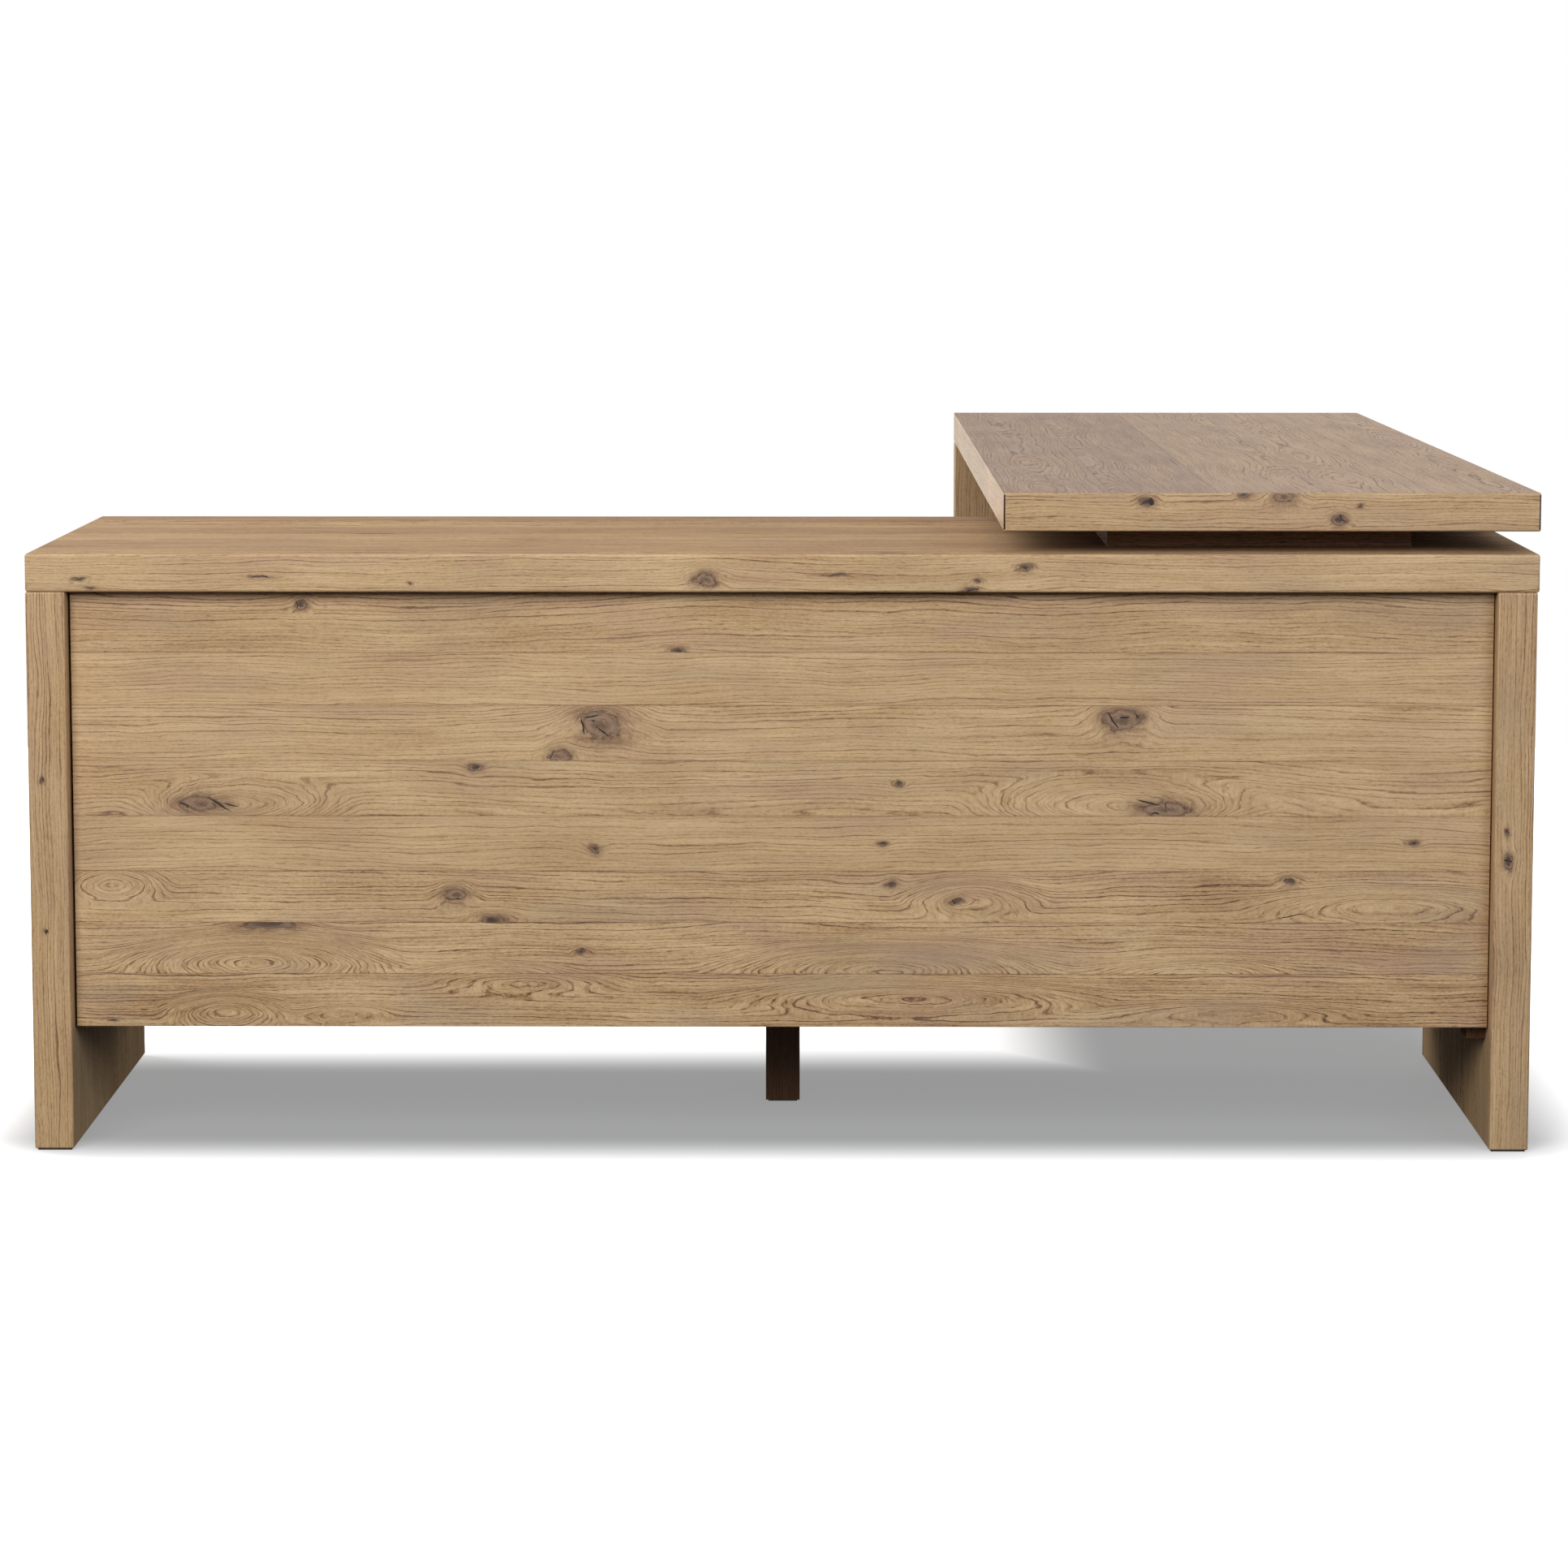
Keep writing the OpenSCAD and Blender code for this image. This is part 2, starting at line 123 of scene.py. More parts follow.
def wood(name, grain, across, seed, tone=0.0, heart=70, arch=25, spacing=4.2, knots=(), eyes=(),
         cracks=(), pitch=0, first=0, joints=None, palette=OAK, figure=1.0, stain=None,
         matt=0.5):
    """Brushed knotty oak. grain and across are axes; every length is in millimetres.

    tone darkens the board. heart is where the tree's heart lies across the grain, or how far
    it strays from the middle of each board where one face shows several. arch is how much the
    heart's depth varies, which opens the growth lines into cathedral arches, and spacing is the
    distance between the lines.

    Each knot is its place along the grain, its place across it, its radius, how long it is for
    its width, and how many millimetres of growth lines close round it. Each eye is lines that
    close with no knot in them: its place, half length, half width and millimetres. Each crack
    is its place, length, width and slope in degrees.

    pitch is the boards' width where one face shows several, counted from first. joints are the
    low and high edge of a single board, which darken a little. palette holds the colours from
    light to dark, figure scales the contrast, stain multiplies the colour, and matt is the
    roughness between the pores.
    """
    material, tree = new_material(name)
    place = add(tree, "TexCoord").outputs["Object"]
    scaled = add(tree, "VectorMath", {0: place, "Scale": 1000.0}, operation="SCALE")
    part = add(tree, "SeparateXYZ", [scaled])
    u, v, w = part.outputs[grain], part.outputs[across], part.outputs[3 - grain - across]
    middle, board_tone = 0.0, None
    if pitch:
        count = add(tree, "Math", [v, first, pitch], operation="SUBTRACT")
        count = add(tree, "Math", [count, pitch], operation="DIVIDE")
        index = add(tree, "Math", [count], operation="FLOOR")
        seeded = add(tree, "Math", [index, seed * 7.3], operation="ADD")
        draw = add(tree, "TexWhiteNoise", {"W": seeded}, noise_dimensions="1D")
        draws = add(tree, "SeparateColor", [draw.outputs["Color"]])
        u = add(tree, "Math", [draws.outputs[0], 4000.0, u], operation="MULTIPLY_ADD").outputs[0]
        middle = add(tree, "Math", [index, 0.5], operation="ADD")
        middle = add(tree, "Math", [middle, pitch, first], operation="MULTIPLY_ADD")
        swing = add(tree, "Math", [draws.outputs[1], -0.5], operation="ADD")
        middle = add(tree, "Math", [swing, heart * 2.0, middle], operation="MULTIPLY_ADD")
        board_tone = add(tree, "Math", [draws.outputs[2], -0.5], operation="ADD")
    depth = add(tree, "Math", [w, 1 / 60, seed * 3.71], operation="MULTIPLY_ADD")
    flat = add(tree, "CombineXYZ", [u, v, depth])

    # slow wander of the grain, and the small ripple that roughens a knot's outline
    slow = add(tree, "Mapping", {"Vector": flat, "Scale": every(WANDER)})
    wander = add(tree, "TexNoise", {"Vector": slow, "Scale": 1.0, "Detail": 3.0,
                                    "Roughness": 0.55})
    wander = add(tree, "Math", [wander, -0.5], operation="ADD")
    flow = add(tree, "Math", [wander, WANDER_BY, v], operation="MULTIPLY_ADD")
    fine = add(tree, "Mapping", {"Vector": flat, "Scale": every(RIPPLE)})
    ripple = add(tree, "TexNoise", {"Vector": fine, "Scale": 1.0, "Detail": 3.0,
                                    "Roughness": 0.6})
    ripples = add(tree, "VectorMath", [ripple.outputs["Color"], (-0.5, -0.5, -0.5)],
                  operation="ADD")
    rippled = add(tree, "VectorMath", [ripples, KNOT_RAGGED, flat], operation="MULTIPLY_ADD")
    bent = add(tree, "VectorMath", [ripples, EYE_RAGGED, flat], operation="MULTIPLY_ADD")

    # the growth lines part round each knot, as water does round a stone, and close round it
    # and round each eye
    closeness, hollow, bulge = None, 0.0, 0.0
    rounds = [(*knot, True) for knot in knots]
    rounds += [(along, over, half_width, half_length / half_width, rise, False)
               for along, over, half_length, half_width, rise in eyes]
    for along, over, radius, stretch, rise, knot in rounds:
        near = add(tree, "VectorMath", [rippled if knot else bent,
                                        (1 / (radius * stretch), 1 / radius, 0),
                                        (-along / (radius * stretch), -over / radius, 0)],
                   operation="MULTIPLY_ADD")
        away = add(tree, "VectorMath", [near], operation="LENGTH").outputs["Value"]
        if rise:
            hill = add(tree, "MapRange", [away, 0.0, KNOT_REACH if knot else 1.0, rise, 0.0],
                       interpolation_type="SMOOTHSTEP")
            bulge = add(tree, "Math", [hill, bulge], operation="ADD")
        if knot:
            clamped = add(tree, "Math", [away, 1.0], operation="MAXIMUM")
            push = add(tree, "Math", [clamped, -2.0], operation="POWER")
            side = add(tree, "SeparateXYZ", [near])
            push = add(tree, "Math", [push, side.outputs[1]], operation="MULTIPLY")
            flow = add(tree, "Math", [push, -radius * KNOT_PARTING, flow], operation="MULTIPLY_ADD")
            this = add(tree, "Math", [1.0, away], operation="SUBTRACT")
            closeness = this if closeness is None else \
                add(tree, "Math", [closeness, this], operation="MAXIMUM")
            if radius <= LOOSE_KNOT:
                hole = add(tree, "MapRange", [away, 0.45, 0.8, 1.0, 0.0])
                hollow = add(tree, "Math", [hole, hollow], operation="MAXIMUM")

    gash = 0.0
    for along, over, length, width, slope in cracks:
        near = add(tree, "Mapping", {"Vector": bent, "Location": (along, over, 0),
                                     "Rotation": (0, 0, math.radians(slope)),
                                     "Scale": (length / 2, width / 2, 1e6)},
                   vector_type="TEXTURE")
        near = add(tree, "VectorMath", [near], operation="LENGTH").outputs["Value"]
        near = add(tree, "MapRange", [near, 0.6, 1.0, 1.0, 0.0])
        gash = add(tree, "Math", [near, gash], operation="MAXIMUM")

    # growth rings: distance from the tree's heart, which wanders in depth along the board
    off_heart = add(tree, "Math", [flow, middle if pitch else heart], operation="SUBTRACT")
    square = add(tree, "Math", [off_heart, off_heart], operation="MULTIPLY")
    reach = add(tree, "Mapping", {"Vector": flat, "Scale": (1 / HEART_WANDER, 0, 1),
                                  "Location": (seed * 1.7, 5, 0)})
    below = add(tree, "TexNoise", {"Vector": reach, "Scale": 1.0, "Detail": 2.0})
    below = add(tree, "MapRange", [below, 0.3, 0.7, HEART_NEAR, HEART_NEAR + arch * 2])
    below_square = add(tree, "Math", [below, below], operation="MULTIPLY")
    ring = add(tree, "Math", [square, below_square], operation="ADD")
    ring = add(tree, "Math", [ring], operation="SQRT")
    ring = add(tree, "Math", [ring, bulge], operation="ADD")
    folded = add(tree, "Math", [v, 1 / STRIP, depth], operation="MULTIPLY_ADD")
    uneven = add(tree, "CombineXYZ", [ring, u, folded])
    uneven_fine = add(tree, "Mapping", {"Vector": uneven, "Scale": every(RING_DRIFT)})
    drift = add(tree, "TexNoise", {"Vector": uneven_fine, "Scale": 1.0, "Detail": 2.0})
    ring_count = add(tree, "Math", [drift, 2.0], operation="MULTIPLY")
    ring_count = add(tree, "Math", [ring, 1 / spacing, ring_count], operation="MULTIPLY_ADD")
    year = add(tree, "Math", [ring_count], operation="FRACT")
    rise_side = add(tree, "MapRange", [year, 0.0, 0.12, 0.0, 1.0])
    line = add(tree, "MapRange", [year, 0.08, 0.5, 1.0, 0.0], interpolation_type="SMOOTHSTEP")
    line = add(tree, "Math", [line, rise_side], operation="MULTIPLY")
    which = add(tree, "Math", [ring_count], operation="FLOOR")
    strength = add(tree, "TexWhiteNoise", {"W": which}, noise_dimensions="1D")
    strength = add(tree, "MapRange", [strength.outputs["Value"], 0.0, 1.0, 0.25, 1.0])
    line = add(tree, "Math", [line, strength], operation="MULTIPLY")

    # brushed pores: short dark dashes along the grain, thickest in each ring's early wood
    dash = add(tree, "Mapping", {"Vector": uneven, "Scale": every(PORE)})
    pore = add(tree, "TexNoise", {"Vector": dash, "Scale": 1.0, "Detail": 2.0})
    more = add(tree, "Math", [line, 0.2, -0.59], operation="MULTIPLY_ADD")
    pore = add(tree, "Math", [pore, more], operation="ADD")
    pore = add(tree, "MapRange", [pore, 0.0, 0.12, 0.0, 1.0])
    streak = add(tree, "Mapping", {"Vector": uneven, "Scale": every(STREAK)})
    streak = add(tree, "TexNoise", {"Vector": streak, "Scale": 1.0, "Detail": 4.0,
                                    "Roughness": 0.66})
    streak = add(tree, "Math", [streak, -0.5], operation="ADD")
    cloud = add(tree, "Mapping", {"Vector": flat, "Scale": every(CLOUD),
                                  "Location": (9, 3, 0)})
    cloud = add(tree, "TexNoise", {"Vector": cloud, "Scale": 1.0, "Detail": 2.0})
    clouds = add(tree, "SeparateColor", [cloud.outputs["Color"]])
    clear = add(tree, "MapRange", [clouds.outputs[1], 0.35, 0.65, 0.22 * figure, 0.54 * figure])
    fibre = add(tree, "Mapping", {"Vector": uneven, "Scale": every(FIBRE)})
    fibre = add(tree, "TexNoise", {"Vector": fibre, "Scale": 1.0, "Detail": 1.0})
    fibre = add(tree, "Math", [fibre, -0.5], operation="ADD")

    # the oak's colour: every part of the pattern darkens it, on top of the board's own tone
    shade = add(tree, "Math", [line, clear, OAK_SHADE + tone], operation="MULTIPLY_ADD")
    shade = add(tree, "Math", [pore, PORE_SHADE * figure, shade], operation="MULTIPLY_ADD")
    shade = add(tree, "Math", [streak, STREAK_SHADE * figure, shade], operation="MULTIPLY_ADD")
    shade = add(tree, "Math", [fibre, FIBRE_SHADE * figure, shade], operation="MULTIPLY_ADD")
    patch = add(tree, "Math", [clouds.outputs[0], -0.5], operation="ADD")
    shade = add(tree, "Math", [patch, CLOUD_SHADE * figure, shade], operation="MULTIPLY_ADD")
    if board_tone:
        shade = add(tree, "Math", [board_tone, BOARD_SHADE, shade], operation="MULTIPLY_ADD")
        within = add(tree, "Math", [count], operation="FRACT")
        within = add(tree, "Math", [within, pitch], operation="MULTIPLY")
        joints = (0, pitch)
    else:
        within = v
    if joints:
        to_low = add(tree, "Math", [within, joints[0]], operation="SUBTRACT")
        to_high = add(tree, "Math", [joints[1], within], operation="SUBTRACT")
        to_joint = add(tree, "Math", [to_low, to_high], operation="MINIMUM")
        seam = add(tree, "MapRange", [to_joint, 0.3, 1.5, SEAM_SHADE, 0.0])
        shade = add(tree, "Math", [seam, shade], operation="ADD")
    colours = add(tree, "ValToRGB", [shade])
    ramp = colours.color_ramp
    ramp.elements[0].color, ramp.elements[1].color = linear(palette[0]), linear(palette[3])
    for at, colour in ((0.4, palette[1]), (0.72, palette[2])):
        ramp.elements.new(at).color = linear(colour)
    pink = add(tree, "MapRange", [clouds.outputs[1], 0.5, 0.8, 0.0, PINK_MOST * figure])
    colour = add(tree, "Mix", {"Factor": pink, 6: colours, 7: linear(OAK_PINK)}, data_type="RGBA")
    grey = add(tree, "MapRange", [clouds.outputs[2], 0.52, 0.8, 0.0, GREY_MOST * figure])
    colour = add(tree, "Mix", {"Factor": grey, 6: colour.outputs[2], 7: linear(OAK_GREY)},
                 data_type="RGBA")
    height = add(tree, "Math", [pore, -1.0], operation="MULTIPLY")
    height = add(tree, "Math", [line, -0.4, height], operation="MULTIPLY_ADD")

    # knots: a browned rim that fades into the wood, a mauve-brown heart, and a crack or two
    if knots:
        churn = add(tree, "SeparateXYZ", [ripples]).outputs[2]
        churned = add(tree, "Math", [churn, 1.3, closeness], operation="MULTIPLY_ADD")
        churned = add(tree, "Math", [fibre, 0.5, churned], operation="MULTIPLY_ADD")
        knot_tone = add(tree, "ValToRGB", [churned])
        ramp = knot_tone.color_ramp
        ramp.elements[0].color, ramp.elements[1].color = linear(KNOT_RIM), linear(KNOT_DARK)
        for at, shown in ((0.08, KNOT_DARK), (0.25, KNOT_HEART), (0.45, KNOT_BURR),
                          (0.62, KNOT_HEART)):
            ramp.elements.new(at).color = linear(shown)
        halo = add(tree, "Math", [streak, 1.2, churned], operation="MULTIPLY_ADD")
        halo = add(tree, "MapRange", [halo, -2.0, 0.05, 0.0, 1.0])
        halo = add(tree, "Math", [halo, 3.0], operation="POWER")
        halo = add(tree, "Math", [halo, HALO_MOST], operation="MULTIPLY")
        colour = add(tree, "Mix", {"Factor": halo, 6: colour.outputs[2], 7: knot_tone},
                     data_type="RGBA")
        split = add(tree, "Mapping", {"Vector": flat, "Scale": every(SPLIT),
                                      "Location": (31, 17, 0)})
        split = add(tree, "TexNoise", {"Vector": split, "Scale": 1.0, "Detail": 1.0})
        opened = add(tree, "SeparateColor", [split.outputs["Color"]]).outputs[1]
        opened = add(tree, "MapRange", [opened, 0.38, 0.48, 0.0, 1.0])
        split = add(tree, "Math", [split, 0.5, 0.012], operation="COMPARE")
        inside = add(tree, "MapRange", [closeness, 0.0, 0.2, 0.0, 1.0])
        crack = add(tree, "Math", [split, inside], operation="MULTIPLY")
        crack = add(tree, "Math", [crack, opened], operation="MULTIPLY")
        hollow = add(tree, "Math", [hollow, HOLLOW_SHADE], operation="MULTIPLY")
        crack = add(tree, "Math", [crack, hollow], operation="MAXIMUM")
        crack = add(tree, "Math", [crack, gash], operation="MAXIMUM")
        colour = add(tree, "Mix", {"Factor": crack, 6: colour.outputs[2],
                                   7: linear(KNOT_CRACK)}, data_type="RGBA")
        height = add(tree, "Math", [crack, -4.0, height], operation="MULTIPLY_ADD")
    if stain:
        colour = add(tree, "Mix", {"Factor": 1.0, 6: colour.outputs[2], 7: linear(stain)},
                     data_type="RGBA", blend_type="MULTIPLY")
    rough = add(tree, "Math", [pore, 0.18, matt], operation="MULTIPLY_ADD")
    bump = add(tree, "Bump", {"Strength": 0.5, "Distance": 0.25 * MM, "Height": height})
    surface = add(tree, "BsdfPrincipled", {"Base Color": colour.outputs[2], "Roughness": rough,
                                           "IOR": 1.45, "Normal": bump})
    add(tree, "OutputMaterial", {"Surface": surface})
    return material


def shown(name, shape, materials):
    """A finished shape as an object in the scene."""
    mesh = bpy.data.meshes.new(name)
    shape.to_mesh(mesh)
    shape.free()
    for material in materials:
        mesh.materials.append(material)
    piece = bpy.data.objects.new(name, mesh)
    bpy.context.scene.collection.objects.link(piece)
    return piece


def slab(name, low, high, materials, ease, mitre=None):
    """A board with rounded edges. materials are for the faces across X, across Y and across Z,
    and mitre is for the narrow joints at its upright corners."""
    shape = bmesh.new()
    bmesh.ops.create_cube(shape, size=1)
    bmesh.ops.scale(shape, vec=Vector(high) - Vector(low), verts=shape.verts)
    bmesh.ops.translate(shape, vec=(Vector(low) + Vector(high)) / 2, verts=shape.verts)
    bmesh.ops.bevel(shape, geom=shape.edges[:], offset=ease, segments=3, profile=0.5,
                    affect="EDGES")
    shape.normal_update()
    slots = list(dict.fromkeys(materials + [mitre] if mitre else materials))
    for face in shape.faces:
        facing = [abs(c) for c in face.normal]
        face.material_index = slots.index(materials[facing.index(max(facing))])
        if mitre and min(facing[:2]) > 0.2 and facing[2] < 0.1:
            face.material_index = slots.index(mitre)
        face.smooth = max(facing) < 0.999
    return shown(name, shape, slots)


def stand_in(piece, node, body):
    """The piece rides on the body and is shown for the CAD node."""
    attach(piece, body)
    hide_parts(node)


# Each board, from the lowest: tone, heart, arch, figure, and its own knots, eyes and cracks
BACK_BOARDS = [
    (0.01, 300, 20, 1.5,
     [(-770, 150, 2, 3, 0)],
     [(-642, 161, 90, 30, 54), (-510, 158, 80, 16, 20), (-300, 196, 150, 22, 26),
      (150, 178, 260, 30, 50), (520, 160, 180, 20, 24)],
     []),
    (-0.05, 330, 20, 1.55,
     [(-592, 262, 7, 4.4, 10), (-231, 231, 3, 1.6, 6)],
     [(-606, 220, 190, 46, 96), (-330, 204, 110, 20, 26), (120, 212, 230, 44, 84),
      (470, 206, 140, 26, 30)],
     []),
    (-0.04, 350, 20, 1.3,
     [(-377, 295, 8, 1.6, 16), (-332, 266, 7, 2, 14), (127, 308, 4, 1.5, 8),
      (202, 289, 5, 1.3, 14), (585, 313, 5, 1.6, 8)],
     [(-770, 312, 80, 34, 44), (220, 294, 100, 34, 40), (700, 285, 200, 30, 40)],
     [(586, 272, 42, 1.6, 10)]),
    (-0.05, 300, 16, 0.9,
     [(-215, 350, 5, 1.4, 6), (116, 355, 3, 2, 3), (726, 358, 4, 1.6, 5)],
     [],
     []),
    (-0.04, 380, 24, 1.0,
     [(-668, 402, 10, 2.2, 20), (-353, 444, 4, 2, 4), (132, 425, 2.5, 1.8, 6),
      (440, 396, 9, 3, 16)],
     [(-620, 398, 150, 42, 64), (380, 398, 200, 46, 84)],
     [(-646, 401, 36, 2.6, -33), (-633, 400, 20, 1.8, -17), (420, 404, 33, 2.4, -13)]),
    (-0.08, 560, 22, 1.0,
     [(-206, 493, 17, 1.5, 26), (-254, 457, 8, 1.4, 12), (391, 499, 13, 1.5, 22)],
     [],
     [(-228, 492, 24, 3, 100), (-218, 503, 20, 2.4, 10), (-204, 485, 22, 2.4, -34),
      (380, 499, 26, 2.6, -60), (393, 502, 14, 2.4, 4)]),
    (-0.05, 420, 16, 0.9,
     [],
     [],
     []),
    (0.03, 690, 24, 1.1,
     [(-551, 633, 5, 1.5, 8), (-120, 579, 4, 2.5, 4)],
     [],
     []),
]
back_low, back_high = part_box("back_panel")
height = back_low.z
for i, (tone, heart, arch, figure, knots, eyes, cracks) in enumerate(BACK_BOARDS):
    top = height + BACK_BOARD_WIDTHS[i] * MM
    timber = wood(f"oak_back_board_{i + 1}", X, Z, 20 + i, tone, heart, arch, knots=knots,
                  eyes=eyes, cracks=cracks, joints=(height / MM, top / MM), figure=figure)
    board = slab(f"back_board_{i + 1}", (back_low.x + BACK_LEFT_GAP, back_low.y, height),
                 (back_high.x, back_high.y, top), [timber] * 3, BACK_BOARD_EASE)
    stand_in(board, "back_panel", "frame")
    height = top

# ---- The tops, side panels and slab leg ------------------------------------------------------
# Thick built-up slabs faced with oak boards, with oak strips along their edges and rounded
# corners that catch the light. The same brushed, matt lacquered oak, its colour toned darker on
# the tops' faces and a little lighter on the desk top's side: painted shade and painted light for
# how the light falls on them. The desk top's mitred corners show a dark glue line.

# rounding in metres, then the widths of the boards that the faces show, in millimetres
SLAB_EASE = 0.002
UNIT_BOARD, DESK_BOARD = 84, 122
# a strip cut far from the tree's heart, with straight, close growth lines
EDGE_STRIP = dict(heart=900, arch=18, spacing=3.6)

# painted shade: the unit top's face is toned darker than its edges to temper the light that falls
# on it from above
unit_face = wood("oak_unit_top_face", X, Y, 3, 0.2, 90, 14, pitch=UNIT_BOARD, first=-762,
                 matt=0.8,
                 knots=[(-359, -479, 2, 6, 2), (-131, -391, 2, 5, 2), (35, -544, 2, 4, 2)])
unit_edge = wood("oak_unit_top_edge", X, Z, 4, -0.06,
                 knots=[(-801, 664, 2.2, 3.2, 14), (-786, 652, 2, 2.6, 3), (-86, 662, 8, 1.6, 10),
                        (277, 676, 5, 1.4, 6), (224, 661, 2.6, 1.6, 12), (214, 651, 2.4, 3.6, 3),
                        (-595, 666, 1.6, 8, 0), (60, 668, 1.5, 9, 0), (-422, 657, 2, 1.5, 0)],
                 **EDGE_STRIP)
unit_end = wood("oak_unit_top_end", Y, Z, 5, -0.02, **EDGE_STRIP)
stand_in(slab("unit_top_slab", *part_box("unit_top"), [unit_end, unit_edge, unit_face],
              1.5 * SLAB_EASE), "unit_top", "frame")

# painted shade: the desk top's face is toned darker than its edges to temper the light that falls
# on it from above
desk_face = wood("oak_desk_top_face", Y, X, 6, 0.42, 70, 26, 3.6, pitch=DESK_BOARD, first=252,
                 matt=0.47, figure=0.7,
                 knots=[(310, 559, 5, 2, 6), (-20, 596, 4, 1.5, 4), (33, 742, 3, 3, 3),
                        (-441, 451, 4, 2, 4)])
desk_edge = wood("oak_desk_top_edge", X, Z, 7, 0.0,
                 knots=[(416, 752, 5, 1.6, 6), (525, 761, 5, 1.4, 4), (569, 757, 8, 1.4, 12),
                        (634, 731, 6, 1.1, 8), (656, 747, 2, 1.5, 0)],
                 **EDGE_STRIP)
# painted light: the desk top's side is toned a little lighter than its front edge, standing in for
# the pale sheen it shows
desk_side = wood("oak_desk_top_side", Y, Z, 8, -0.1, matt=0.35, **EDGE_STRIP)
glue_line = wood("dark_glue_line", Z, X, 19, 0.6, stain="#5e4a3a")
stand_in(slab("desk_top_slab", *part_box("desk_top"), [desk_side, desk_edge, desk_face], SLAB_EASE,
              glue_line), "desk_top", "frame")

panel_face = wood("oak_side_panel_face", Z, Y, 9, 0.0, 90, 16, pitch=UNIT_BOARD, first=-762,
                  knots=[(430, -520, 12, 1.6, 18), (210, -600, 6, 1.8, 8), (560, -330, 7, 1.6, 9)])
panel_edge = wood("oak_side_panel_edge", Z, X, 10, 0.05,
                  knots=[(339, 832, 5, 1.6, 6), (373, 830, 3, 1.6, 0),
                         (431, -846, 2.5, 1.6, 0), (258, -846, 2, 1.6, 0)],
                  **EDGE_STRIP)
for side in ("left", "right"):
    node = f"{side}_side_panel"
    stand_in(slab(f"{side}_side_slab", *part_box(node), [panel_face, panel_edge, panel_edge],
                  SLAB_EASE), node, "frame")

leg_face = wood("oak_slab_leg_face", Z, X, 11, 0.02, 120, 16, pitch=DESK_BOARD, first=252,
                knots=[(520, 430, 12, 1.5, 18), (260, 700, 8, 1.7, 12)])
leg_edge = wood("oak_slab_leg_edge", Z, Y, 12, 0.02, **EDGE_STRIP)
stand_in(slab("slab_leg_slab", *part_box("slab_leg"), [leg_edge, leg_face, leg_edge], SLAB_EASE),
         "slab_leg", "frame")

# ---- Drawer fronts and door ------------------------------------------------------------------
# Flush boards of the same oak, with the grain running on from one front to the next. The drawer
# fronts are screwed to their boxes from inside, and the door hangs on two butt hinges.

FRONT_EASE = 0.0012
DRAWERS = ["left_upper_drawer", "left_file_drawer", "centre_upper_drawer", "centre_file_drawer"]
front_face = wood("oak_front_face", X, Z, 13, 0.0, 80, 18, pitch=63, first=142,
                  knots=[(-640, 540, 8, 1.6, 10), (-420, 250, 12, 1.6, 18),
                         (-90, 590, 6, 1.8, 8), (150, 330, 10, 1.5, 14),
                         (420, 480, 12, 1.6, 16), (690, 240, 8, 1.6, 10)])
for drawer in DRAWERS:
    stand_in(slab(f"{drawer}_front_board", *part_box(f"{drawer}_front"), [front_face] * 3,
                  FRONT_EASE), f"{drawer}_front", drawer)
stand_in(slab("door_board", *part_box("cabinet_door"), [front_face] * 3, FRONT_EASE),
         "cabinet_door", "door")

# ---- Inside of the unit, riser and foot --------------------------------------------------------
# Bottom, shelf, cleats and partitions are plain oak boards without knots. The centre foot and
# the corner block are a dark brown oak, partly their stain and partly painted shade under the
# unit, and the riser is toned a little. The drawer boxes are planed birch: even, pale cream
# boards with hardly any figure.

BIRCH = ["#ecdcbc", "#dcc59c", "#c9ab7e", "#ad8b60"]
INNER_BOARD = 120


def finish_nodes(names, material):
    """Gives CAD nodes that keep their own shape one material."""
    for name in names:
        nodes[name].data.materials.clear()
        nodes[name].data.materials.append(material)


inner_oak = wood("oak_inner_board", X, Y, 14, 0.1, 60, 20, pitch=INNER_BOARD, first=-762)
upright_oak = wood("oak_partition", Z, Y, 15, 0.1, 60, 20, pitch=INNER_BOARD, first=-762)
# painted shade: this dark brown stands partly for the stain of the foot and the block and partly
# for the shade under the unit
stain_and_shade_oak = wood("stain_and_shade_oak_foot", Z, X, 16, 0.2, stain="#735a3a", **EDGE_STRIP)
stained_riser = wood("stained_oak_riser", X, Z, 18, 0.2, stain="#cdb69c", **EDGE_STRIP)
box_board = wood("birch_drawer_board", Y, Z, 17, 0.0, 400, 10, 6, palette=BIRCH, figure=0.45)
finish_nodes(["bottom_panel", "cabinet_shelf", "left_cleat", "right_cleat"], inner_oak)
finish_nodes(["left_partition", "right_partition"], upright_oak)
finish_nodes(["corner_block", "centre_foot"], stain_and_shade_oak)
finish_nodes(["riser_block"], stained_riser)
finish_nodes([f"{drawer}_{part}" for drawer in DRAWERS
              for part in ("left_side", "right_side", "back", "bottom")], box_board)

# ---- Knobs and hinges ------------------------------------------------------------------------
# Turned brass knobs with a small foot, a waist and a domed head, screwed on from behind, and
# brass hinge leaves. Chemically bronzed, then lacquered: dark brown metal with a warm, mottled
# sheen.

KNOB_SIDES = 40
BRONZE_DARK, BRONZE_WARM = "#33271f", "#765a3b"
# size in millimetres of the fine unevenness, coarser than the real one so that it shows, and
# the length of a drawn line
POLISH, DRAWN_LINE = 0.7, 30
# foot, waist, neck and rim as shares of the knob's radius and of its length
KNOB_OUTLINE = [(0.0, 0.0), (0.62, 0.0), (0.62, 0.05), (0.58, 0.08), (0.46, 0.14), (0.42, 0.2),
                (0.42, 0.36), (0.46, 0.44), (0.62, 0.49), (0.92, 0.53), (0.985, 0.56),
                (1.0, 0.6)]
# the domed head, a quarter round from the rim to the flat on top
KNOB_OUTLINE += [(0.55 + 0.45 * math.cos(math.radians(a)), 0.67 + 0.33 * math.sin(math.radians(a)))
                 for a in range(0, 91, 10)]
KNOB_OUTLINE += [(0.3, 1.0), (0.0, 1.0)]


